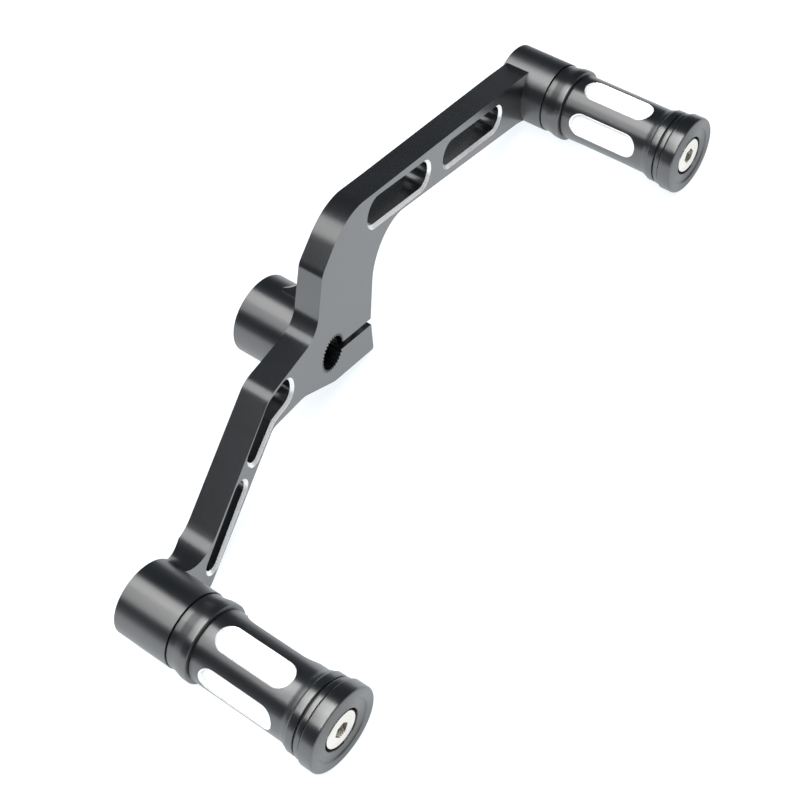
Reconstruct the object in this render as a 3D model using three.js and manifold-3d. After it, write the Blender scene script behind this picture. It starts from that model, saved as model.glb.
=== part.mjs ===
// Heel and toe gear shift lever: a machined billet arm that clamps on a splined shaft,
// with a free-turning foot peg bolted to each end.
// Millimetres. X runs from the toe peg to the heel peg, Y along the shaft (minus Y is
// outboard, where the pegs point) and Z is up. The origin is the shaft axis where it
// leaves the front face of the arm.

import * as THREE from 'three';
import { mergeVertices } from 'three/addons/utils/BufferGeometryUtils.js';
import Module from 'manifold-3d';

const wasm = await Module();
wasm.setup();

// ---- driving dimensions ----

const TOE_X = -122.4;
const HEEL_X = 183.3;
const PEG_Z = -12.6;
const SWEEP = 1 / 6;              // the arm moves inboard by this much for each mm of X
const ARM_THICKNESS = 12;         // at the bosses and the hub
// The plate's back: X, and its distance behind the leaning front face. It is faced off
// level with the toe boss, thickest along the toe arm and thinnest over the hub.
const PLATE_BACK = [
  [-97, 13.6],
  [-45, 13.1],
  [10, 11.5],
  [50, 11.4],
  [160, 12.3],
  [200, 11.8],
];

const BOSS_RADIUS = 15.9;
const BOSS_LENGTH = 24.9;
const TAPPED_DEPTH = 19;

const HUB_RADIUS = 17.2;
const HUB_BACK_Y = 37.3;
const SPLINE_TEETH = 32;
const SPLINE_TIP_RADIUS = 7.2;
const SPLINE_ROOT_RADIUS = 8.3;

const PINCH_ANGLE = -22 * Math.PI / 180;   // direction of the pinch slot from the shaft axis
const PINCH_SLOT_WIDTH = 3.3;
const JAW_DROP = 15.35;                    // shaft axis to the flat under the jaw
const PINCH_SCREW_OFFSET = 19;             // shaft axis to screw axis, along the slot
const PINCH_SCREW_Y = 8.8;

const RIM_CHAMFER = 1.2;
const GAP = 0.3;                  // clearance kept between touching pieces

const SIDES = 36;                 // facets round a turned piece
const SMALL_SIDES = 18;

// ---- materials ----

const blackAnodised = { color: 0x26282b, roughness: 0.34, metalness: 0.85 };
const bareAluminium = { color: 0xdfe1e4, roughness: 0.3, metalness: 1 };
const zincSteel = { color: 0xc9c4bb, roughness: 0.32, metalness: 1 };
const bronze = { color: 0xa9814a, roughness: 0.4, metalness: 1 };
const blackRubber = { color: 0x0d0d0e, roughness: 0.8, metalness: 0 };

// ---- helpers ----

function signedVolume(geometry) {
  const position = geometry.attributes.position;
  const index = geometry.index;
  const a = new THREE.Vector3();
  const b = new THREE.Vector3();
  const c = new THREE.Vector3();
  let sum = 0;
  for (let i = 0; i < index.count; i += 3) {
    a.fromBufferAttribute(position, index.getX(i));
    b.fromBufferAttribute(position, index.getX(i + 1));
    c.fromBufferAttribute(position, index.getX(i + 2));
    sum += a.dot(b.cross(c));
  }
  return sum;
}

// Welds a closed geometry, turns its faces outward and makes it a solid.
function solidFrom(geometry) {
  geometry.deleteAttribute('normal');
  geometry.deleteAttribute('uv');
  const welded = mergeVertices(geometry);
  const triVerts = new Uint32Array(welded.index.array);
  if (signedVolume(welded) < 0) {
    for (let i = 0; i < triVerts.length; i += 3) {
      [triVerts[i], triVerts[i + 1]] = [triVerts[i + 1], triVerts[i]];
    }
  }
  const vertProperties = new Float32Array(welded.attributes.position.array);
  return new wasm.Manifold(new wasm.Mesh({ numProp: 3, vertProperties, triVerts }));
}

function geometryFrom(solid) {
  const mesh = solid.getMesh();
  const geometry = new THREE.BufferGeometry();
  geometry.setAttribute('position', new THREE.BufferAttribute(mesh.vertProperties, 3));
  geometry.setIndex(new THREE.BufferAttribute(mesh.triVerts, 1));
  geometry.computeVertexNormals();
  return geometry;
}

function makeMesh(name, solid, finish) {
  const mesh = new THREE.Mesh(geometryFrom(solid), new THREE.MeshStandardMaterial(finish));
  mesh.name = name;
  return mesh;
}

// A closed outline from corners [x, z, fillet radius], each rounded by an arc.
function roundedOutline(corners, stepDegrees = 12) {
  const points = [];
  corners.forEach(([x, z, radius], i) => {
    const corner = new THREE.Vector2(x, z);
    const [bx, bz] = corners[(i + corners.length - 1) % corners.length];
    const [nx, nz] = corners[(i + 1) % corners.length];
    const toBefore = new THREE.Vector2(bx, bz).sub(corner).normalize();
    const toNext = new THREE.Vector2(nx, nz).sub(corner).normalize();
    const opening = Math.acos(THREE.MathUtils.clamp(toBefore.dot(toNext), -1, 1));
    if (!radius) {
      points.push(corner);
      return;
    }
    const bisector = toBefore.clone().add(toNext).normalize();
    const centre = corner.clone().addScaledVector(bisector, radius / Math.sin(opening / 2));
    const tangent = corner.clone().addScaledVector(toBefore, radius / Math.tan(opening / 2));
    const start = tangent.sub(centre);
    const side = Math.sign(toBefore.cross(toNext));
    const turn = -side * (Math.PI - opening);
    const steps = Math.max(2, Math.round(Math.abs(turn) / (stepDegrees * Math.PI / 180)));
    for (let k = 0; k <= steps; k += 1) {
      points.push(start.clone().rotateAround(new THREE.Vector2(), turn * k / steps).add(centre));
    }
  });
  return points;
}

// A stadium between two end centres.
function stadium(ax, az, bx, bz, radius) {
  const along = new THREE.Vector2(bx - ax, bz - az).normalize().multiplyScalar(radius);
  const across = new THREE.Vector2(-along.y, along.x);
  const r = radius * 0.999;
  return roundedOutline([
    [ax - along.x - across.x, az - along.y - across.y, r],
    [bx + along.x - across.x, bz + along.y - across.y, r],
    [bx + along.x + across.x, bz + along.y + across.y, r],
    [ax - along.x + across.x, az - along.y + across.y, r],
  ], 20);
}

// Extrudes an outline in the XZ plane from yFront back to yBack.
function prism(points, yFront, yBack) {
  const depth = yBack - yFront;
  const geometry = new THREE.ExtrudeGeometry(new THREE.Shape(points), { depth, bevelEnabled: false });
  geometry.rotateX(Math.PI / 2);
  geometry.translate(0, yBack, 0);
  return geometry;
}

// A cutter that chamfers a slot's mouth in the front plane, Y zero.
function rimCutter(points) {
  const clear = 2;
  const geometry = new THREE.ExtrudeGeometry(new THREE.Shape(points), {
    depth: clear,
    bevelEnabled: true,
    bevelThickness: RIM_CHAMFER,
    bevelSize: RIM_CHAMFER,
    bevelSegments: 1,
  });
  geometry.rotateX(Math.PI / 2);
  return geometry;
}

// Slides a geometry inboard along the arm, so the arm's faces lean but its edges stay
// square to the shaft.
function swept(geometry) {
  const shear = new THREE.Matrix4().set(1, 0, 0, 0, SWEEP, 1, 0, 0, 0, 0, 1, 0, 0, 0, 0, 1);
  return geometry.applyMatrix4(shear);
}

function cylinderAlongY(radius, yFront, yBack, x, z, sides = SIDES) {
  const geometry = new THREE.CylinderGeometry(radius, radius, yBack - yFront, sides);
  geometry.translate(x, (yFront + yBack) / 2, z);
  return geometry;
}

// Turns a closed profile of [radius, station] about the peg axis. Stations run outboard.
function turned(profile, sides = SIDES) {
  const points = profile.map(([radius, station]) => new THREE.Vector2(radius, station));
  points.push(points[0].clone());
  const geometry = new THREE.LatheGeometry(points, sides);
  geometry.rotateX(Math.PI);
  return solidFrom(geometry);
}

function tube(innerRadius, outerRadius, from, to, sides = SMALL_SIDES) {
  return turned([[innerRadius, from], [outerRadius, from], [outerRadius, to], [innerRadius, to]], sides);
}

// ---- lever arm ----

function armOutline() {
  const toeTop = [
    [TOE_X, PEG_Z, 0],
    [-111, -2, 0],
    [-99, -14.8, 15],
    [-42.5, 21.4, 12],
    [-8.3, 19.4, 11],
    [1.2, 44, 6],
    [21.5, 57.2, 28],
  ];
  const heelEnd = [
    [178, 1.3, 0],
    [HEEL_X, PEG_Z, 0],
    [HEEL_X, PEG_Z - BOSS_RADIUS, 0],
    [163.5, -18.1, 10],
  ];
  const underside = [
    [39.5, 32, 21],
    [28.9, -10, 6],
    [28.2, -28, 1],
    [-1.5, -16, 16],
    [-22.5, -1.7, 12],
    [-44.6, 4.4, 5],
    [-99.5, -29.7, 12],
    [TOE_X, PEG_Z - BOSS_RADIUS, 0],
  ];
  return roundedOutline([...toeTop, ...heelEnd, ...underside]);
}

function armSlots() {
  const innerHeelSlot = stadium(42.3, 39.5, 78.6, 25.4, 6);
  const outerHeelSlot = stadium(102.1, 17.5, 142.7, 2, 5.5);
  const outerToeSlot = stadium(-93.8, -19.8, -70.3, -3.9, 3.9);
  const innerToeSlot = roundedOutline([
    [-62.8, 5.8, 3.1],
    [-44, 18.5, 6],
    [-28.4, 18.4, 5.4],
    [-28.8, 6.2, 5.4],
    [-43.4, 7.4, 6],
    [-59.3, -1.4, 3.1],
  ], 20);
  return [innerHeelSlot, outerHeelSlot, innerToeSlot, outerToeSlot];
}

// Everything behind the plate's back, to be taken off the extruded outline.
function behindPlate() {
  const far = 100;
  const toeBossBack = SWEEP * TOE_X + ARM_THICKNESS;
  const profile = new THREE.Shape();
  profile.moveTo(TOE_X - far, toeBossBack);
  profile.lineTo(TOE_X + BOSS_RADIUS - 1.5, toeBossBack);
  for (const [x, thickness] of PLATE_BACK) {
    profile.lineTo(x, SWEEP * x + thickness);
  }
  profile.lineTo(HEEL_X + far, HEEL_X);
  profile.lineTo(TOE_X - far, HEEL_X);
  const geometry = new THREE.ExtrudeGeometry(profile, { depth: 2 * far, bevelEnabled: false });
  geometry.translate(0, 0, -far);
  return solidFrom(geometry);
}

// Straight-sided teeth: each pitch has a flat root and a flat tip.
function splineOutline() {
  const pitch = 2 * Math.PI / SPLINE_TEETH;
  const tooth = [
    [SPLINE_ROOT_RADIUS, 0],
    [SPLINE_ROOT_RADIUS, 0.34],
    [SPLINE_TIP_RADIUS, 0.5],
    [SPLINE_TIP_RADIUS, 0.84],
  ];
  const points = [];
  for (let i = 0; i < SPLINE_TEETH; i += 1) {
    for (const [radius, share] of tooth) {
      const angle = (i + share) * pitch;
      points.push(new THREE.Vector2(radius * Math.cos(angle), radius * Math.sin(angle)));
    }
  }
  return points;
}

// The rib that carries the back of the hub into the back of the heel arm.
function hubRib() {
  const direction = 55 * Math.PI / 180;
  const width = 13;
  const ribTop = 27;
  const profile = new THREE.Shape();
  profile.moveTo(5, 6);
  profile.lineTo(5, ribTop);
  profile.lineTo(HUB_RADIUS, ribTop);
  profile.quadraticCurveTo(20, 17, 38, 15.5);
  profile.lineTo(38, 6);
  const geometry = new THREE.ExtrudeGeometry(profile, { depth: width, bevelEnabled: false, curveSegments: 10 });
  geometry.translate(0, 0, -width / 2);
  geometry.rotateY(-direction);
  return geometry;
}

// Places a geometry built round the Y axis on the pinch screw's axis: its local Y runs
// from the flat under the jaw up through the slot, with zero in the slot's middle.
function onPinchAxis(geometry) {
  geometry.rotateX(Math.PI / 2);
  geometry.rotateY(-PINCH_ANGLE);
  const reach = PINCH_SCREW_OFFSET;
  geometry.translate(reach * Math.cos(PINCH_ANGLE), PINCH_SCREW_Y, reach * Math.sin(PINCH_ANGLE));
  return geometry;
}

function pinchCylinder(radius, from, to, sides = SMALL_SIDES) {
  const geometry = new THREE.CylinderGeometry(radius, radius, to - from, sides);
  geometry.translate(0, (from + to) / 2, 0);
  return onPinchAxis(geometry);
}

const pinch = {
  shankRadius: 3,
  headRadius: 5,
  counterbore: -6.6,
  washerFrom: -8.5,
  headFrom: -14.8,
  headTo: -8.8,
  tip: 13,
};

function leverArm() {
  let arm = solidFrom(swept(prism(armOutline(), 0, ARM_THICKNESS + 5)));
  arm = arm.subtract(behindPlate());
  for (const x of [TOE_X, HEEL_X]) {
    const back = SWEEP * x + ARM_THICKNESS;
    arm = arm.add(solidFrom(cylinderAlongY(BOSS_RADIUS, back - BOSS_LENGTH, back, x, PEG_Z)));
  }
  arm = arm.add(solidFrom(cylinderAlongY(HUB_RADIUS, ARM_THICKNESS / 2, HUB_BACK_Y, 0, 0)));
  arm = arm.add(solidFrom(hubRib()));

  for (const slot of armSlots()) {
    arm = arm.subtract(solidFrom(swept(prism(slot, -3, ARM_THICKNESS + 6))));
    arm = arm.subtract(solidFrom(swept(rimCutter(slot))));
  }

  arm = arm.subtract(solidFrom(prism(splineOutline(), -10, HUB_BACK_Y + 5)));
  const slotLength = 45;
  const pinchSlot = new THREE.BoxGeometry(slotLength, HUB_BACK_Y + 20, PINCH_SLOT_WIDTH);
  pinchSlot.translate(slotLength / 2, HUB_BACK_Y / 2, 0);
  pinchSlot.rotateY(-PINCH_ANGLE);
  arm = arm.subtract(solidFrom(pinchSlot));

  arm = arm.subtract(solidFrom(pinchCylinder(pinch.shankRadius + GAP, pinch.counterbore - 1, pinch.tip + 1)));
  arm = arm.subtract(solidFrom(pinchCylinder(pinch.headRadius + GAP, -JAW_DROP - 6, pinch.counterbore)));

  for (const x of [TOE_X, HEEL_X]) {
    const front = SWEEP * x + ARM_THICKNESS - BOSS_LENGTH;
    const hole = cylinderAlongY(peg.shankRadius + GAP, front - 1, front + TAPPED_DEPTH, x, PEG_Z, SMALL_SIDES);
    arm = arm.subtract(solidFrom(hole));
  }
  return makeMesh('lever_arm', arm, blackAnodised);
}

// A hexagonal prism round the Y axis, for a key socket.
function hexKey(acrossFlats, from, to) {
  const geometry = new THREE.CylinderGeometry(acrossFlats / Math.sqrt(3), acrossFlats / Math.sqrt(3), to - from, 6);
  geometry.translate(0, (from + to) / 2, 0);
  return geometry;
}

function pinchScrew() {
  const head = solidFrom(pinchCylinder(pinch.headRadius - GAP, pinch.headFrom, pinch.headTo));
  const shank = solidFrom(pinchCylinder(pinch.shankRadius, pinch.headTo - 1, pinch.tip));
  const key = solidFrom(onPinchAxis(hexKey(5, pinch.headFrom - 1, pinch.headFrom + 3)));
  return makeMesh('pinch_screw', head.add(shank).subtract(key), zincSteel);
}

function pinchWasher() {
  const disc = solidFrom(pinchCylinder(pinch.headRadius - GAP, pinch.washerFrom, pinch.counterbore - GAP));
  const hole = solidFrom(pinchCylinder(pinch.shankRadius + GAP, pinch.washerFrom - 1, pinch.counterbore));
  return makeMesh('pinch_washer', disc.subtract(hole), zincSteel);
}

// ---- foot peg ----
// Stations are measured outboard from the back of the boss that the peg is bolted to.

const peg = {
  shankRadius: 4,
  shankTip: BOSS_LENGTH - TAPPED_DEPTH + 1,
  spacerInner: 4.3,
  spacerOuter: 5.6,
  bushInner: 5.9,
  bushOuter: 7.3,
  bushLength: 12,
  coreInner: 7.6,
  spigotRadius: 11,
  coreRadius: 12.9,
  barrelInner: 13.2,
  barrelRadius: 14.9,
  flareRadius: 16.4,
  seat: BOSS_LENGTH + GAP,
  thrustWasher: 0.8,
  collarEnd: 35.1,
  barrelStart: 35.5,
  collarRingStation: 37.9,
  barrelEnd: 84.4,
  coreEnd: 83.9,
  capRingStation: 86,
  neckEnd: 87.5,
  capBack: 87.9,
  capFace: 94,
  capRadius: 17.5,
  counterboreFloor: 88.4,
  counterboreRadius: 8.8,
  headFace: 93.4,
  headBack: 89.9,
  headRadius: 7.84,
  keySize: 6,
};

const pegWindow = {
  count: 5,
  firstAngle: 92,
  from: 40.6,
  to: 73.4,
  width: 10.3,
};

// Rubber rings, each in a groove that leaves it GAP of room on every side.
const ring = {
  section: 0.7,
  collarCentre: 12.2,
  capCentre: 10.3,
};

function innerCollar() {
  const bore = peg.spigotRadius + GAP;
  return turned([
    [bore, peg.seat],
    [15.1, peg.seat],
    [15.5, peg.seat + 0.4],
    [15.5, 27.6],
    [15.75, 28.9],
    [16.1, 30.6],
    [16.5, 31.6],
    [16.5, peg.collarEnd - 0.5],
    [16, peg.collarEnd],
    [bore, peg.collarEnd],
  ]);
}

function oRing(centreRadius, station) {
  const facets = 6;
  const profile = [];
  for (let i = 0; i < facets; i += 1) {
    const angle = 2 * Math.PI * i / facets;
    profile.push([centreRadius + ring.section * Math.cos(angle), station + ring.section * Math.sin(angle)]);
  }
  return turned(profile, SMALL_SIDES);
}

// Profile points down into a ring's groove and out again, from a surface of outerRadius.
function ringGroove(outerRadius, centreRadius, station) {
  const floor = centreRadius - ring.section - GAP;
  const half = ring.section + GAP;
  return [
    [outerRadius, station - half],
    [floor, station - half],
    [floor, station + half],
    [outerRadius, station + half],
  ];
}

// A round-ended prism standing on the peg axis, pointing outward at the given angle.
function windowCutter(angle) {
  const half = pegWindow.width / 2;
  const points = stadium(0, pegWindow.from + half, 0, pegWindow.to - half, half);
  const geometry = new THREE.ExtrudeGeometry(new THREE.Shape(points), { depth: 10, bevelEnabled: false });
  geometry.translate(0, 0, peg.barrelRadius - 5);
  geometry.rotateX(Math.PI);
  geometry.rotateY(Math.PI / 2 + Math.PI);
  geometry.rotateY(-angle);
  return solidFrom(geometry);
}

function barrel() {
  let shell = turned([
    [peg.barrelInner, peg.barrelStart],
    [peg.barrelRadius - 0.4, peg.barrelStart],
    [peg.barrelRadius, peg.barrelStart + 0.4],
    [peg.barrelRadius, 77.6],
    [15.5, 79.2],
    [15.9, 80.3],
    [peg.flareRadius, 81.3],
    [peg.flareRadius, peg.barrelEnd - 0.4],
    [peg.flareRadius - 0.4, peg.barrelEnd],
    [peg.barrelInner, peg.barrelEnd],
  ]);
  for (let i = 0; i < pegWindow.count; i += 1) {
    const angle = THREE.MathUtils.degToRad(pegWindow.firstAngle + 360 * i / pegWindow.count);
    shell = shell.subtract(windowCutter(angle));
  }
  return shell;
}

function coreSleeve() {
  const start = peg.seat + peg.thrustWasher + GAP;
  const step = peg.collarEnd + GAP;
  return turned([
    [peg.coreInner, start],
    [peg.spigotRadius, start],
    [peg.spigotRadius, step],
    [peg.coreRadius, step],
    ...ringGroove(peg.coreRadius, ring.collarCentre, peg.collarRingStation),
    [peg.coreRadius, peg.coreEnd],
    [peg.coreInner, peg.coreEnd],
  ]);
}

function neckRing() {
  return turned([
    [peg.spigotRadius + GAP, peg.barrelEnd + GAP],
    [15.8, peg.barrelEnd + GAP],
    [16.6, 85.6],
    [16.6, peg.neckEnd - 0.3],
    [16.3, peg.neckEnd],
    [peg.spigotRadius + GAP, peg.neckEnd],
  ]);
}

function endCap() {
  const rimRadius = 13.3;
  const dishDepth = 0.5;
  return turned([
    [peg.bushInner, peg.coreEnd + GAP],
    [peg.spigotRadius, peg.coreEnd + GAP],
    ...ringGroove(peg.spigotRadius, ring.capCentre, peg.capRingStation),
    [peg.spigotRadius, peg.capBack],
    [peg.capRadius - 0.5, peg.capBack],
    [peg.capRadius, peg.capBack + 0.5],
    [peg.capRadius, peg.capFace - 0.7],
    [peg.capRadius - 0.7, peg.capFace],
    [rimRadius, peg.capFace],
    [rimRadius - 0.6, peg.capFace - dishDepth],
    [peg.counterboreRadius + 0.4, peg.capFace - dishDepth],
    [peg.counterboreRadius, peg.capFace - dishDepth - 0.4],
    [peg.counterboreRadius, peg.counterboreFloor],
    [peg.bushInner, peg.counterboreFloor],
  ]);
}

function pegScrew() {
  const body = turned([
    [0, peg.shankTip],
    [peg.shankRadius - 0.8, peg.shankTip],
    [peg.shankRadius, peg.shankTip + 0.8],
    [peg.shankRadius, peg.headBack],
    [peg.headRadius, peg.headBack],
    [peg.headRadius, peg.headFace - 0.5],
    [peg.headRadius - 0.5, peg.headFace],
    [0, peg.headFace],
  ], SMALL_SIDES);
  const keyDepth = 2.6;
  const key = hexKey(peg.keySize, -peg.headFace - 1, -peg.headFace + keyDepth);
  return body.subtract(solidFrom(key));
}

const pegPieces = [
  ['peg_screw', pegScrew, zincSteel],
  ['head_washer', () => tube(peg.spacerInner, 8.4, peg.counterboreFloor + GAP, peg.headBack - GAP), zincSteel],
  ['spacer_tube', () => tube(peg.spacerInner, peg.spacerOuter, peg.seat, peg.counterboreFloor), zincSteel],
  ['thrust_washer', () => tube(peg.bushInner, peg.spigotRadius, peg.seat, peg.seat + peg.thrustWasher), zincSteel],
  ['inner_collar', innerCollar, blackAnodised],
  ['collar_o_ring', () => oRing(ring.collarCentre, peg.collarRingStation), blackRubber],
  ['barrel', barrel, blackAnodised],
  ['core_sleeve', coreSleeve, bareAluminium],
  ['inner_bushing', () => bushingAt(peg.collarRingStation), bronze],
  ['outer_bushing', () => bushingAt(peg.coreEnd - 1 - peg.bushLength), bronze],
  ['neck_ring', neckRing, blackAnodised],
  ['cap_o_ring', () => oRing(ring.capCentre, peg.capRingStation), blackRubber],
  ['end_cap', endCap, blackAnodised],
];

function bushingAt(station) {
  return tube(peg.bushInner, peg.bushOuter, station, station + peg.bushLength);
}

function footPeg(side, x) {
  const assembly = new THREE.Group();
  for (const [name, build, finish] of pegPieces) {
    assembly.add(makeMesh(`${side}_${name}`, build(), finish));
  }
  assembly.position.set(x, SWEEP * x + ARM_THICKNESS, PEG_Z);
  return assembly;
}

// ---- assembly ----

const group = new THREE.Group();
group.add(leverArm());
group.add(pinchScrew());
group.add(pinchWasher());
group.add(footPeg('toe', TOE_X));
group.add(footPeg('heel', HEEL_X));

export default group;
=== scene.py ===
"""Looks of the heel and toe gear shift lever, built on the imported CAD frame.

Outlines are in millimetres in the row frame: X from toe peg to heel peg, minus Y outboard,
Z up, with the origin on the shaft axis at the arm's front face. Pegs are turned about their
own axis, with stations measured outboard from the back of the boss.
"""

import math

import bmesh
import bpy
from mathutils import Matrix, Vector


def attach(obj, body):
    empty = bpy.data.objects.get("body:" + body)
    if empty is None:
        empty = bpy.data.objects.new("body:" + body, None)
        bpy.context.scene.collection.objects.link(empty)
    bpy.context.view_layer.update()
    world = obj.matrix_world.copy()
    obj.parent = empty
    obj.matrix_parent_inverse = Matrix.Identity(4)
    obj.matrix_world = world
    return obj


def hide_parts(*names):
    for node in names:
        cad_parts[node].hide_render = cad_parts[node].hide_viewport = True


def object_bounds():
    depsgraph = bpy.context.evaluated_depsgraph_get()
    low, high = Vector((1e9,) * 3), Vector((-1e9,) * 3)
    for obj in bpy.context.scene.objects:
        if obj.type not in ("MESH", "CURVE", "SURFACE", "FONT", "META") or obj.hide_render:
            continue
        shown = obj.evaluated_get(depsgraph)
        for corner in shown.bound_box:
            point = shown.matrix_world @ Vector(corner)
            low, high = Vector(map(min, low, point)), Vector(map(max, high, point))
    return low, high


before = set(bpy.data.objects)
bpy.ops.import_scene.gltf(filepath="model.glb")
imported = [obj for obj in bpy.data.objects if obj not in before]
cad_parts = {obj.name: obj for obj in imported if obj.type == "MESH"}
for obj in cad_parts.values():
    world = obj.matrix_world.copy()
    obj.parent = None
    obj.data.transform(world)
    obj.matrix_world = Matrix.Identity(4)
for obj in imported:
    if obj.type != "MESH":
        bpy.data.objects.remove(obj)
cad_low, cad_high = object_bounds()

MM = 0.001

TOE_X = -122.4
HEEL_X = 183.3
PEG_Z = -12.6
SWEEP = 1 / 6  # the arm moves inboard by this much for each mm of X
ARM_THICKNESS = 12  # at the bosses and the hub
OVERCUT = 3  # how far a cutter runs past the plate
# The plate's back: X, and its distance behind the leaning front face.
PLATE_BACK = [(-97, 13.6), (-45, 13.1), (10, 11.5), (50, 11.4), (160, 12.3), (200, 11.8)]
BOSS_RADIUS = 15.9
BOSS_LENGTH = 24.9
TAPPED_DEPTH = 19
HUB_RADIUS = 17.2
HUB_BACK_Y = 37.3
SPLINE_TEETH = 32
SPLINE_TIP_RADIUS = 7.2
SPLINE_ROOT_RADIUS = 8.3
PINCH_ANGLE = math.radians(-22)
PINCH_SLOT_WIDTH = 3.3
JAW_DROP = 15.35
PINCH_SCREW_OFFSET = 19
PINCH_SCREW_Y = 8.8
GAP = 0.3  # clearance kept between touching pieces
RIM = 1.3  # chamfer round a slot's mouth, 0.1 wider than the CAD's

# Stations along the pinch screw: zero is the middle of the slot, plus is up.
pinch = {
    "shank": 3,
    "head": 4.7,
    "seat": -6.6,
    "washer_from": -8.5,
    "head_from": -14.8,
    "head_to": -8.8,
    "key_depth": 3,
    "key_size": 5,
    "tip": 13,
}

# The bright windows round a peg's barrel: stations along the peg, and their width.
window = {
    "count": 5,
    "first_angle": math.radians(92),
    "from": 40.6,
    "to": 73.4,
    "width": 10.3,
}

SEGMENTS = 160  # facets round a large turned piece
SMALL_SEGMENTS = 96
HOLE_SEGMENTS = 64


# ---- materials ----


def node(tree, kind, **settings):
    made = tree.nodes.new(kind)
    for key, value in settings.items():
        setattr(made, key, value)
    return made


def grain(tree, stretch, scale, detail=4.0):
    """Noise in the piece's own coordinates, stretched so that it draws lines."""
    place = node(tree, "ShaderNodeTexCoord")
    mapping = node(tree, "ShaderNodeMapping")
    mapping.inputs["Scale"].default_value = stretch
    noise = node(tree, "ShaderNodeTexNoise")
    noise.inputs["Scale"].default_value = scale
    noise.inputs["Detail"].default_value = detail
    tree.links.new(place.outputs["Object"], mapping.inputs["Vector"])
    tree.links.new(mapping.outputs["Vector"], noise.inputs["Vector"])
    return noise.outputs["Fac"]


def ramp(tree, factor, low, high, start=0.3, end=0.7):
    """A colour between low and high, read from the factor."""
    made = node(tree, "ShaderNodeValToRGB")
    made.color_ramp.elements[0].position = start
    made.color_ramp.elements[0].color = (*low, 1)
    made.color_ramp.elements[1].position = end
    made.color_ramp.elements[1].color = (*high, 1)
    tree.links.new(factor, made.inputs["Fac"])
    return made.outputs["Color"]


def span(tree, factor, low, high):
    """The factor, from 0 to 1, spread over low to high."""
    made = node(tree, "ShaderNodeMapRange")
    made.inputs["To Min"].default_value = low
    made.inputs["To Max"].default_value = high
    tree.links.new(factor, made.inputs["Value"])
    return made.outputs["Result"]


def relief(tree, factor, shader, strength, depth):
    bump = node(tree, "ShaderNodeBump")
    bump.inputs["Strength"].default_value = strength
    bump.inputs["Distance"].default_value = depth
    tree.links.new(factor, bump.inputs["Height"])
    tree.links.new(bump.outputs["Normal"], shader.inputs["Normal"])


def finish(name, low, high, metallic, rough, stretch, scale, strength, depth=0.00005, ior=1.5):
    """A material whose roughness and relief follow one stretched grain, with its colour from a broader,
    even grain.
    """
    material = bpy.data.materials.new(name)
    material.use_nodes = True
    tree = material.node_tree
    shader = tree.nodes["Principled BSDF"]
    shader.inputs["Metallic"].default_value = metallic
    shader.inputs["IOR"].default_value = ior
    lines = grain(tree, stretch, scale)
    clouds = grain(tree, (1, 1, 1), 60, 3)
    tree.links.new(ramp(tree, clouds, low, high), shader.inputs["Base Color"])
    tree.links.new(span(tree, lines, *rough), shader.inputs["Roughness"])
    relief(tree, lines, shader, strength, depth)
    return material


def brush_round(material, amount):
    """Spreads reflections across turning marks: along Y on a wall, outward on an end face."""
    tree = material.node_tree
    shader = tree.nodes["Principled BSDF"]
    shader.inputs["Anisotropic"].default_value = amount
    place = node(tree, "ShaderNodeTexCoord")
    spread = node(tree, "ShaderNodeVectorMath", operation="MULTIPLY_ADD")
    spread.inputs[1].default_value = (3, 0, 3)
    spread.inputs[2].default_value = (0, 1, 0)
    turn = node(tree, "ShaderNodeVectorTransform", vector_type="VECTOR")
    turn.convert_from = "OBJECT"
    turn.convert_to = "WORLD"
    tree.links.new(place.outputs["Object"], spread.inputs[0])
    tree.links.new(spread.outputs["Vector"], turn.inputs["Vector"])
    tree.links.new(turn.outputs["Vector"], shader.inputs["Tangent"])


BLACK_LOW = (0.0035, 0.004, 0.005)
BLACK_HIGH = (0.006, 0.007, 0.009)
BLACK_IOR = 2.2
WHITE = (0.97, 0.97, 0.97)
RUBBER_LOW = (0.012, 0.012, 0.012)
RUBBER_HIGH = (0.022, 0.022, 0.022)
EVEN = (1, 1, 1)
MILLED = (1, 8, 1)
CORE_MARKS = (1, 6, 1)
TURNED = (0.02, 1, 0.02)

# Each finish: low and high colour, metallic, roughness range, then the grain's stretch,
# scale and relief.
milled_black = finish(
    "milled_black", BLACK_LOW, BLACK_HIGH, 0, (0.20, 0.28), MILLED, 500, 0.02, ior=BLACK_IOR)
turned_black = finish(
    "turned_black", BLACK_LOW, BLACK_HIGH, 0, (0.32, 0.38), TURNED, 4000, 0.03, ior=BLACK_IOR)
brush_round(turned_black, 0.88)
bright_rim = finish("bright_rim", (0.90, 0.91, 0.92), WHITE, 0.5, (0.22, 0.38), EVEN, 700, 0.1)
bright_core = finish("bright_core", (0.90, 0.90, 0.91), WHITE, 0.4, (0.35, 0.5), CORE_MARKS, 500, 0.2)
zinc_steel = finish(
    "zinc_steel", (0.66, 0.63, 0.58), (0.80, 0.77, 0.72), 1, (0.2, 0.34), EVEN, 900, 0.12)
bronze = finish("bronze", (0.50, 0.34, 0.16), (0.66, 0.47, 0.24), 1, (0.35, 0.5), TURNED, 2500, 0.2)
black_rubber = finish("black_rubber", RUBBER_LOW, RUBBER_HIGH, 0, (0.6, 0.8), EVEN, 1500, 0.3)


# ---- mesh helpers ----


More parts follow.
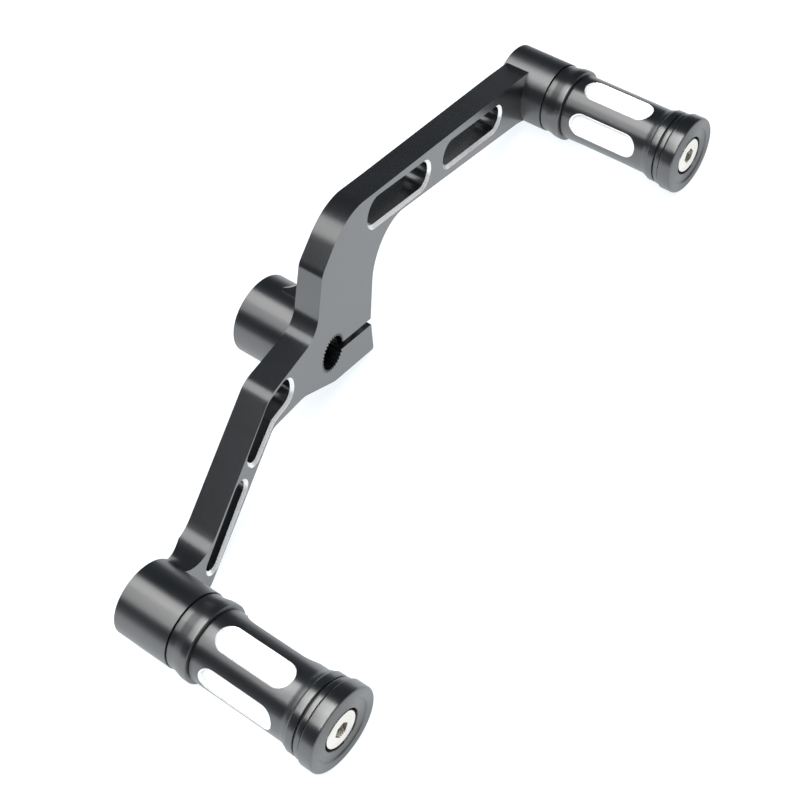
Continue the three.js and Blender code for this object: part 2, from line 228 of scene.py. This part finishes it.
def rounded(corners, step=5):
    """Points of a closed outline from corners (x, z, fillet radius)."""
    points = []
    for i, (x, z, radius) in enumerate(corners):
        corner = Vector((x, z))
        if not radius:
            points.append(corner)
            continue
        before = (Vector(corners[i - 1][:2]) - corner).normalized()
        after = (Vector(corners[(i + 1) % len(corners)][:2]) - corner).normalized()
        opening = before.angle(after)
        centre = corner + (before + after).normalized() * radius / math.sin(opening / 2)
        start = corner + before * radius / math.tan(opening / 2) - centre
        cross = before.x * after.y - before.y * after.x
        turn = -math.copysign(math.pi - opening, cross)
        steps = max(2, round(abs(math.degrees(turn)) / step))
        for k in range(steps + 1):
            points.append(centre + Matrix.Rotation(turn * k / steps, 2) @ start)
    return points


def stadium(start, end, radius, steps=30):
    """A slot outline with round ends about the two centres."""
    start, end = Vector(start), Vector(end)
    heading = math.atan2(end.y - start.y, end.x - start.x)
    points = []
    for centre, first in ((end, heading - math.pi / 2), (start, heading + math.pi / 2)):
        for k in range(steps + 1):
            turn = first + math.pi * k / steps
            points.append(centre + Vector((math.cos(turn), math.sin(turn))) * radius)
    return points


def offset(points, distance):
    """The closed outline moved outward by distance."""
    area = sum(a.x * b.y - b.x * a.y for a, b in zip(points, points[1:] + points[:1]))
    side = math.copysign(distance, area)
    moved = []
    for i, point in enumerate(points):
        before = (point - points[i - 1]).normalized()
        after = (points[(i + 1) % len(points)] - point).normalized()
        along = (before + after).normalized()
        reach = side / max(0.4, along.dot(before))
        moved.append(point + Vector((along.y, -along.x)) * reach)
    return moved


def mesh_object(name, vertices, faces, material):
    mesh = bpy.data.meshes.new(name)
    mesh.from_pydata([Vector(v) * MM for v in vertices], [], faces)
    mesh.materials.append(material)
    tidy = bmesh.new()
    tidy.from_mesh(mesh)
    bmesh.ops.remove_doubles(tidy, verts=tidy.verts, dist=1e-7)
    bmesh.ops.recalc_face_normals(tidy, faces=tidy.faces)
    tidy.to_mesh(mesh)
    tidy.free()
    made = bpy.data.objects.new(name, mesh)
    bpy.context.scene.collection.objects.link(made)
    return made


def loft(name, rings, material):
    """A closed solid through equal rings of points, capped at both ends."""
    size = len(rings[0])
    vertices = [p for ring in rings for p in ring]
    faces = []
    for k in range(len(rings) - 1):
        for i in range(size):
            j = (i + 1) % size
            faces.append((k * size + i, k * size + j, (k + 1) * size + j, (k + 1) * size + i))
    faces.append(tuple(range(size)))
    faces.append(tuple(range((len(rings) - 1) * size, len(rings) * size)))
    return mesh_object(name, vertices, faces, material)


def swept_loft(name, layers, material=milled_black):
    """A solid through (outline, y) layers in XZ planes, leaned inboard along the arm."""
    rings = [[(p.x, y + SWEEP * p.x, p.y) for p in outline] for outline, y in layers]
    return loft(name, rings, material)


def drum(name, radius, low, high, centre, material, segments=SEGMENTS):
    """A cylinder along Y from low to high."""
    turns = [math.tau * i / segments for i in range(segments)]
    circle = [(centre[0] + radius * math.cos(t), centre[1] + radius * math.sin(t)) for t in turns]
    rings = [[(x, y, z) for x, z in circle] for y in (low, high)]
    return loft(name, rings, material)


def combine(body, tool, operation):
    """Joins or cuts body with tool, keeping tool's material on the faces that it leaves."""
    modifier = body.modifiers.new("combine", "BOOLEAN")
    modifier.operation = operation
    modifier.object = tool
    modifier.solver = "MANIFOLD"
    modifier.material_mode = "TRANSFER"
    graph = bpy.context.evaluated_depsgraph_get()
    mesh = bpy.data.meshes.new_from_object(body.evaluated_get(graph))
    body.modifiers.clear()
    body.data = mesh
    bpy.data.objects.remove(tool)


def shade(made, edge=0.0, angle=32, segments=2):
    """Smooth shading with crisp edges, broken by a small bevel of edge mm."""
    for polygon in made.data.polygons:
        polygon.use_smooth = True
    if edge:
        bevel = made.modifiers.new("broken_edges", "BEVEL")
        bevel.width = edge * MM
        bevel.segments = segments
        bevel.limit_method = "ANGLE"
        bevel.angle_limit = math.radians(angle)
        bevel.harden_normals = True
    else:
        made.data.set_sharp_from_angle(angle=math.radians(angle))


# ---- lever arm ----


def arm_outline():
    toe_top = [
        (TOE_X, PEG_Z, 0),
        (-111, -2, 0),
        (-99, -14.8, 15),
        (-42.5, 21.4, 12),
        (-8.3, 19.4, 11),
        (1.2, 44, 6),
        (21.5, 57.2, 28),
    ]
    heel_end = [
        (178, 1.3, 0),
        (HEEL_X, PEG_Z, 0),
        (HEEL_X, PEG_Z - BOSS_RADIUS, 0),
        (163.5, -18.1, 10),
    ]
    underside = [
        (39.5, 32, 21),
        (28.9, -10, 6),
        (28.2, -28, 1),
        (-1.5, -16, 16),
        (-22.5, -1.7, 12),
        (-44.6, 4.4, 5),
        (-99.5, -29.7, 12),
        (TOE_X, PEG_Z - BOSS_RADIUS, 0),
    ]
    return rounded(toe_top + heel_end + underside, 3)


def arm_slots():
    inner_toe = [
        (-62.8, 5.8, 3.1),
        (-44, 18.5, 6),
        (-28.4, 18.4, 5.4),
        (-28.8, 6.2, 5.4),
        (-43.4, 7.4, 6),
        (-59.3, -1.4, 3.1),
    ]
    return [
        stadium((42.3, 39.5), (78.6, 25.4), 6),
        stadium((102.1, 17.5), (142.7, 2), 5.5),
        rounded(inner_toe),
        stadium((-93.8, -19.8), (-70.3, -3.9), 3.9),
    ]


def behind_plate():
    """Everything behind the plate's back, to be taken off the extruded outline."""
    far = 100
    toe_boss_back = SWEEP * TOE_X + ARM_THICKNESS
    profile = [(TOE_X - far, toe_boss_back), (TOE_X + BOSS_RADIUS - 1.5, toe_boss_back)]
    for x, thickness in PLATE_BACK:
        profile.append((x, SWEEP * x + thickness))
    profile.append((HEEL_X + far, HEEL_X))
    profile.append((TOE_X - far, HEEL_X))
    rings = [[(x, y, z) for x, y in profile] for z in (-far, far)]
    return loft("behind_plate", rings, milled_black)


def spline_outline():
    """Straight-sided teeth: each pitch has a flat root and a flat tip."""
    tooth = [
        (SPLINE_ROOT_RADIUS, 0),
        (SPLINE_ROOT_RADIUS, 0.34),
        (SPLINE_TIP_RADIUS, 0.5),
        (SPLINE_TIP_RADIUS, 0.84),
    ]
    points = []
    for i in range(SPLINE_TEETH):
        for radius, share in tooth:
            turn = math.tau * (i + share) / SPLINE_TEETH
            points.append((radius * math.cos(turn), radius * math.sin(turn)))
    return points


def hub_rib():
    """The rib that carries the back of the hub into the back of the heel arm."""
    direction = math.radians(55)
    half_width = 6.5
    rib_top = 27
    profile = [(5, 6), (5, rib_top), (HUB_RADIUS, rib_top)]
    start, pull, end = Vector((HUB_RADIUS, rib_top)), Vector((20, 17)), Vector((38, 15.5))
    steps = 20
    for k in range(1, steps + 1):
        t = k / steps
        profile.append(tuple(start * (1 - t) ** 2 + pull * 2 * t * (1 - t) + end * t * t))
    profile.append((38, 6))
    rings = []
    for side in (-half_width, half_width):
        ring = []
        for reach, y in profile:
            x = reach * math.cos(direction) - side * math.sin(direction)
            z = reach * math.sin(direction) + side * math.cos(direction)
            ring.append((x, y, z))
        rings.append(ring)
    return loft("rib", rings, milled_black)


def pinch_drum(name, radius, low, high, material, segments=HOLE_SEGMENTS):
    """A cylinder on the pinch screw's axis, from low to high."""
    along = Vector((math.cos(PINCH_ANGLE), 0, math.sin(PINCH_ANGLE)))
    up = Vector((-along.z, 0, along.x))
    centre = along * PINCH_SCREW_OFFSET + Vector((0, PINCH_SCREW_Y, 0))
    rings = []
    for height in (low, high):
        ring = []
        for i in range(segments):
            turn = math.tau * i / segments
            across = along * math.cos(turn) + Vector((0, 1, 0)) * math.sin(turn)
            ring.append(tuple(centre + up * height + across * radius))
        rings.append(ring)
    return loft(name, rings, material)


def lever_arm():
    outline = arm_outline()
    arm = swept_loft("lever_arm_body", [(outline, 0), (outline, ARM_THICKNESS + 5)])
    combine(arm, behind_plate(), "DIFFERENCE")
    for x in (TOE_X, HEEL_X):
        back = SWEEP * x + ARM_THICKNESS
        boss = drum("boss", BOSS_RADIUS, back - BOSS_LENGTH, back, (x, PEG_Z), turned_black)
        combine(arm, boss, "UNION")
    combine(arm, drum("hub", HUB_RADIUS, ARM_THICKNESS / 2, HUB_BACK_Y, (0, 0), turned_black), "UNION")
    combine(arm, hub_rib(), "UNION")

    for slot in arm_slots():
        through = [(slot, -OVERCUT), (slot, ARM_THICKNESS + 2 * OVERCUT)]
        combine(arm, swept_loft("slot", through), "DIFFERENCE")
        over = 0.5
        wide = offset(slot, RIM + over)
        front = [(slot, RIM), (wide, -over)]
        combine(arm, swept_loft("front_rim", front, bright_rim), "DIFFERENCE")

    rings = [[(x, y, z) for x, z in spline_outline()] for y in (-10, HUB_BACK_Y + 5)]
    combine(arm, loft("bore", rings, milled_black), "DIFFERENCE")

    along = Vector((math.cos(PINCH_ANGLE), math.sin(PINCH_ANGLE)))
    across = Vector((-along.y, along.x)) * PINCH_SLOT_WIDTH / 2
    reach = along * 45
    corners = [-across, reach - across, reach + across, across]
    rings = [[(p.x, y, p.y) for p in corners] for y in (-10, HUB_BACK_Y + 10)]
    combine(arm, loft("pinch_slot", rings, milled_black), "DIFFERENCE")
    hole = pinch_drum("pinch_hole", pinch["shank"] + GAP, pinch["seat"] - 1, pinch["tip"] + 1, milled_black)
    combine(arm, hole, "DIFFERENCE")
    well = pinch_drum("pinch_seat", pinch["head"] + 2 * GAP, -JAW_DROP - 6, pinch["seat"], milled_black)
    combine(arm, well, "DIFFERENCE")
    for x in (TOE_X, HEEL_X):
        front = SWEEP * x + ARM_THICKNESS - BOSS_LENGTH
        depths = (front - 1, front + TAPPED_DEPTH)
        hole = drum("peg_hole", peg["shank"] + GAP, *depths, (x, PEG_Z), milled_black, HOLE_SEGMENTS)
        combine(arm, hole, "DIFFERENCE")
    shade(arm, 0.15)
    return arm


# ---- turned pieces ----


def lathe(name, profile, material, place, segments=SEGMENTS):
    """Turns a closed profile of (radius, station) points about the peg axis at place."""
    vertices = []
    rings = []
    for radius, station in profile:
        if radius < 1e-6:
            rings.append([len(vertices)] * segments)
            vertices.append((0, -station, 0))
            continue
        rings.append(range(len(vertices), len(vertices) + segments))
        for i in range(segments):
            turn = math.tau * i / segments
            vertices.append((radius * math.cos(turn), -station, radius * math.sin(turn)))
    faces = []
    for a, b in zip(rings, rings[1:] + rings[:1]):
        for i in range(segments):
            j = (i + 1) % segments
            face = []
            for corner in (a[i], a[j], b[j], b[i]):
                if corner not in face:
                    face.append(corner)
            if len(face) > 2:
                faces.append(face)
    made = mesh_object(name, vertices, faces, material)
    made.location = Vector(place) * MM
    return made


def turned_outline(corners):
    return [tuple(p) for p in rounded(corners, 15)]


# Radii and stations of a peg. Stations run outboard from the back of its boss.
peg = {
    "shank": 4,
    "shank_tip": 6.9,
    "seat": BOSS_LENGTH + GAP,
    "thrust_washer": 0.8,
    "spacer_inner": 4.3,
    "spacer": 5.6,
    "bush": 7.3,
    "bush_length": 12,
    "core_inner": 7.6,
    "spigot": 11,
    "core": 13.17,  # 0.27 wider than the CAD's, which closes the gap to the barrel's bore
    "bore": 5.9,
    "collar_end": 35.1,
    "barrel_start": 35.5,
    "collar_ring": 37.9,
    "barrel_inner": 13.2,
    "barrel": 14.9,
    "flare": 16.4,
    "barrel_end": 84.4,
    "core_end": 83.9,
    "cap_ring": 86,
    "neck_end": 87.5,
    "cap_back": 87.9,
    "cap_face": 94,
    "cap": 17.5,
    "floor": 88.4,
    "well": 8.8,
    "head_back": 89.9,
    "head_face": 93.4,
    "head": 7.84,
    "key_size": 6,
    "key_depth": 2.6,
}


# Rubber rings: section radius, and centre radius of the ring at each end of the peg.
RING_SECTION = 0.7
RING_COLLAR_CENTRE = 12.2
RING_CAP_CENTRE = 10.3


def tube(name, inner, outer, low, high, material, place):
    edge = min(0.25, (outer - inner) / 4, (high - low) / 4)
    corners = [(inner, low, edge), (outer, low, edge), (outer, high, edge), (inner, high, edge)]
    made = lathe(name, turned_outline(corners), material, place, SMALL_SEGMENTS)
    shade(made)
    return made


def inner_collar(name, place):
    bore = peg["spigot"] + GAP
    profile = turned_outline([
        (bore, peg["seat"], 0),
        (15.5, peg["seat"], 0.5),
        (15.5, 28, 5),
        (16.5, 32, 5),
        (16.5, peg["collar_end"], 0.6),
        (bore, peg["collar_end"], 0),
    ])
    made = lathe(name, profile, turned_black, place)
    shade(made)
    return made


def o_ring(name, centre, station, place):
    turns = [math.tau * i / 16 for i in range(16)]
    profile = [(centre + RING_SECTION * math.cos(t), station + RING_SECTION * math.sin(t)) for t in turns]
    made = lathe(name, profile, black_rubber, place)
    shade(made, angle=60)
    return made


def ring_groove(outer, centre, station):
    """Profile corners down into a ring's groove and out again."""
    floor = centre - RING_SECTION - GAP
    half = RING_SECTION + GAP
    return [
        (outer, station - half, 0),
        (floor, station - half, 0),
        (floor, station + half, 0),
        (outer, station + half, 0),
    ]


def wrapped_window(angle, layers, material, place):
    """A round-ended cutter wrapped on the peg: layers are (radius, growth) pairs."""
    half = window["width"] / 2
    low, high = window["from"] + half, window["to"] - half
    nominal = peg["barrel"]
    rings = []
    for radius, growth in layers:
        ring = []
        for p in stadium((0, low), (0, high), half + growth):
            turn = angle + p.x / nominal
            ring.append((radius * math.cos(turn), -p.y, radius * math.sin(turn)))
        rings.append(ring)
    made = loft("window", rings, material)
    made.location = Vector(place) * MM
    triangles = made.modifiers.new("triangles", "TRIANGULATE")
    triangles.ngon_method = "BEAUTY"
    return made


def barrel(name, place):
    profile = turned_outline([
        (peg["barrel_inner"], peg["barrel_start"], 0),
        (peg["barrel"], peg["barrel_start"], 0.5),
        (peg["barrel"], 77.8, 3),
        (15.6, 79.6, 1.5),
        (15.8, 80.7, 0.3),
        (peg["flare"], 81.3, 0.6),
        (peg["flare"], peg["barrel_end"], 0.5),
        (peg["barrel_inner"], peg["barrel_end"], 0),
    ])
    made = lathe(name, profile, turned_black, place)
    for i in range(window["count"]):
        angle = window["first_angle"] + math.tau * i / window["count"]
        through = [(peg["barrel_inner"] - 1.2, 0), (peg["flare"] + 0.6, 0)]
        combine(made, wrapped_window(angle, through, bright_rim, place), "DIFFERENCE")
        flare = [(peg["barrel"] - 0.6, 0), (peg["barrel"] + 0.5, 1.0)]
        combine(made, wrapped_window(angle, flare, bright_rim, place), "DIFFERENCE")
    shade(made)
    return made


def core_sleeve(name, place):
    step = peg["collar_end"] + GAP
    start = peg["seat"] + peg["thrust_washer"] + GAP
    corners = [
        (peg["core_inner"], start, 0.3),
        (peg["spigot"], start, 0.3),
        (peg["spigot"], step, 0),
        (peg["core"], step, 0.2),
        *ring_groove(peg["core"], RING_COLLAR_CENTRE, peg["collar_ring"]),
        (peg["core"], peg["core_end"], 0.3),
        (peg["core_inner"], peg["core_end"], 0.3),
    ]
    made = lathe(name, turned_outline(corners), bright_core, place)
    shade(made)
    return made


def neck_ring(name, place):
    low = peg["barrel_end"] + GAP
    bore = peg["spigot"] + GAP
    corners = [
        (bore, low, 0),
        (15.8, low, 0.2),
        (16.6, 85.6, 0.4),
        (16.6, peg["neck_end"], 0.3),
        (bore, peg["neck_end"], 0),
    ]
    made = lathe(name, turned_outline(corners), turned_black, place)
    shade(made)
    return made


def end_cap(name, place):
    face = peg["cap_face"]
    dish = 0.5
    spigot_start = peg["core_end"] + GAP
    corners = [
        (peg["bore"], spigot_start, 0),
        (peg["spigot"], spigot_start, 0.3),
        *ring_groove(peg["spigot"], RING_CAP_CENTRE, peg["cap_ring"]),
        (peg["spigot"], peg["cap_back"], 0),
        (peg["cap"], peg["cap_back"], 0.6),
        (peg["cap"], face, 0.9),
        (13.3, face, 0.25),
        (12.8, face - dish, 0.3),
        (peg["well"], face - dish, 0.4),
        (peg["well"], peg["floor"], 0),
        (peg["bore"], peg["floor"], 0),
    ]
    made = lathe(name, turned_outline(corners), turned_black, place)
    shade(made, angle=25)
    return made


def hex_tool(name, across_flats, low, high, place):
    """A hexagonal cutter on the peg axis, for a key socket."""
    radius = across_flats / math.sqrt(3)
    corner = [(radius * math.cos(math.tau * i / 6), radius * math.sin(math.tau * i / 6)) for i in range(6)]
    made = loft(name, [[(x, -s, z) for x, z in corner] for s in (low, high)], zinc_steel)
    made.location = Vector(place) * MM
    return made


def peg_screw(name, place):
    corners = [
        (0, peg["shank_tip"], 0),
        (peg["shank"] - 0.8, peg["shank_tip"], 0),
        (peg["shank"], peg["shank_tip"] + 0.8, 0),
        (peg["shank"], peg["head_back"], 0.2),
        (peg["head"], peg["head_back"], 0.3),
        (peg["head"], peg["head_face"], 0.6),
        (0, peg["head_face"], 0),
    ]
    made = lathe(name, turned_outline(corners), zinc_steel, place, SMALL_SEGMENTS)
    depths = (peg["head_face"] - peg["key_depth"], peg["head_face"] + 1)
    combine(made, hex_tool("key", peg["key_size"], *depths, place), "DIFFERENCE")
    shade(made, 0.15)
    return made


def pinch_screw():
    made = pinch_drum("pinch_screw_body", pinch["head"], pinch["head_from"], pinch["head_to"], zinc_steel)
    shank = pinch_drum("shank", pinch["shank"], pinch["head_to"] - 1, pinch["tip"], zinc_steel)
    combine(made, shank, "UNION")
    key_radius = pinch["key_size"] / math.sqrt(3)
    key_floor = pinch["head_from"] + pinch["key_depth"]
    combine(made, pinch_drum("key", key_radius, -16, key_floor, zinc_steel, 6), "DIFFERENCE")
    shade(made, 0.2)
    return made


def pinch_washer():
    low, high = pinch["washer_from"], pinch["seat"] - GAP
    made = pinch_drum("pinch_washer_body", pinch["head"], low, high, zinc_steel)
    hole = pinch_drum("hole", pinch["shank"] + GAP, low - 1.5, high + 1.9, zinc_steel)
    combine(made, hole, "DIFFERENCE")
    shade(made, 0.15)
    return made


# ---- assembly ----


def stand_for(made, body, cad_node):
    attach(made, body)
    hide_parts(cad_node)


def tube_maker(inner, outer, low, high, material):
    return lambda name, place: tube(name, inner, outer, low, high, material, place)


def ring_maker(centre, station):
    return lambda name, place: o_ring(name, centre, station, place)


def bushing_maker(start):
    return tube_maker(peg["bore"], peg["bush"], start, start + peg["bush_length"], bronze)


head_washer = tube_maker(peg["spacer_inner"], 8.4, peg["floor"] + GAP, peg["head_back"] - GAP, zinc_steel)
spacer_tube = tube_maker(peg["spacer_inner"], peg["spacer"], peg["seat"], peg["floor"], zinc_steel)
washer_end = peg["seat"] + peg["thrust_washer"]
thrust_washer = tube_maker(peg["bore"], peg["spigot"], peg["seat"], washer_end, zinc_steel)
outer_bush_start = peg["core_end"] - 1 - peg["bush_length"]

# Name, maker, material slot, and whether the piece turns with the peg.
peg_pieces = [
    ("peg_screw", peg_screw, "zinc_steel", False),
    ("head_washer", head_washer, "zinc_steel", False),
    ("spacer_tube", spacer_tube, "zinc_steel", False),
    ("thrust_washer", thrust_washer, "zinc_steel", False),
    ("inner_collar", inner_collar, "black_anodised", True),
    ("collar_o_ring", ring_maker(RING_COLLAR_CENTRE, peg["collar_ring"]), "black_rubber", True),
    ("barrel", barrel, "black_anodised", True),
    ("core_sleeve", core_sleeve, "bare_aluminium", True),
    ("inner_bushing", bushing_maker(peg["collar_ring"]), "bronze", True),
    ("outer_bushing", bushing_maker(outer_bush_start), "bronze", True),
    ("neck_ring", neck_ring, "black_anodised", True),
    ("cap_o_ring", ring_maker(RING_CAP_CENTRE, peg["cap_ring"]), "black_rubber", True),
    ("end_cap", end_cap, "black_anodised", True),
]

stand_for(lever_arm(), "lever", "lever_arm")
stand_for(pinch_screw(), "lever", "pinch_screw")
stand_for(pinch_washer(), "lever", "pinch_washer")
for side, peg_x in (("toe", TOE_X), ("heel", HEEL_X)):
    peg_place = (peg_x, SWEEP * peg_x + ARM_THICKNESS, PEG_Z)
    for piece_name, make, slot_name, spins in peg_pieces:
        node_name = f"{side}_{piece_name}"
        shaped = make(f"{node_name}_shape", peg_place)
        stand_for(shaped, f"{side}_peg" if spins else "lever", node_name)


# ---- floor, light and camera ----


def studio_floor():
    """A white floor that glows, so that it reads white with hardly a shadow."""
    half = 1.6
    z = cad_low[2]
    mesh = bpy.data.meshes.new("floor")
    corners = [(-half, -half, z), (half, -half, z), (half, half, z), (-half, half, z)]
    mesh.from_pydata(corners, [], [(0, 1, 2, 3)])
    floor = bpy.data.objects.new("floor", mesh)
    bpy.context.scene.collection.objects.link(floor)
    material = bpy.data.materials.new("floor_white")
    material.use_nodes = True
    shader = material.node_tree.nodes["Principled BSDF"]
    shader.inputs["Base Color"].default_value = (0.2, 0.2, 0.2, 1)
    shader.inputs["Roughness"].default_value = 0.9
    shader.inputs["Specular IOR Level"].default_value = 0
    shader.inputs["Emission Color"].default_value = (0.91, 0.96, 1.0, 1)
    shader.inputs["Emission Strength"].default_value = 0.93
    mesh.materials.append(material)


def softbox(name, place, aim, width, height, power, mirrored):
    """An area light. One that isn't mirrored lights the pieces but isn't reflected by them."""
    light = bpy.data.lights.new(name, "AREA")
    light.shape = "RECTANGLE"
    light.size = width
    light.size_y = height
    light.energy = power
    lamp = bpy.data.objects.new(name, light)
    lamp.location = place
    lamp.rotation_euler = (Vector(aim) - Vector(place)).to_track_quat("-Z", "Y").to_euler()
    lamp.visible_glossy = mirrored
    bpy.context.scene.collection.objects.link(lamp)


def dim_room():
    world = bpy.data.worlds.new("room")
    bpy.context.scene.world = world
    world.use_nodes = True
    world.node_tree.nodes["Background"].inputs["Color"].default_value = (0.85, 0.94, 1.0, 1)
    world.node_tree.nodes["Background"].inputs["Strength"].default_value = 0.06


def camera():
    """The camera, from its heading clockwise from Y, its dip below level and its roll."""
    heading = math.radians(47.01)
    dip = math.radians(51.42)
    roll = math.radians(-6.71)
    place = Vector((-0.3078, -0.3200, 0.5212))
    forward = Vector((math.sin(heading) * math.cos(dip), math.cos(heading) * math.cos(dip), -math.sin(dip)))
    level = forward.cross(Vector((0, 0, 1))).normalized()
    upright = level.cross(forward)
    right = level * math.cos(roll) + upright * math.sin(roll)
    up = right.cross(forward)
    lens = bpy.data.cameras.new("camera")
    lens.sensor_width = 36
    lens.lens = 77.73
    made = bpy.data.objects.new("camera", lens)
    turn = Matrix((right, up, -forward)).transposed().to_4x4()
    made.matrix_world = Matrix.Translation(place) @ turn
    bpy.context.scene.collection.objects.link(made)
    bpy.context.scene.camera = made


studio_floor()
dim_room()
softbox("overhead", (0.1, 0.1, 1.3), (0.03, 0, 0), 1.6, 1.6, 16, False)
softbox("panel", (-0.42, -0.1, 1.0), (-0.42, -0.1, 0), 1.3, 0.75, 22, True)
softbox("strip", (-0.07, 0.47, 1.0), (-0.07, 0.47, 0), 0.6, 0.7, 2.8, True)
bpy.context.scene.view_settings.view_transform = "Standard"
camera()
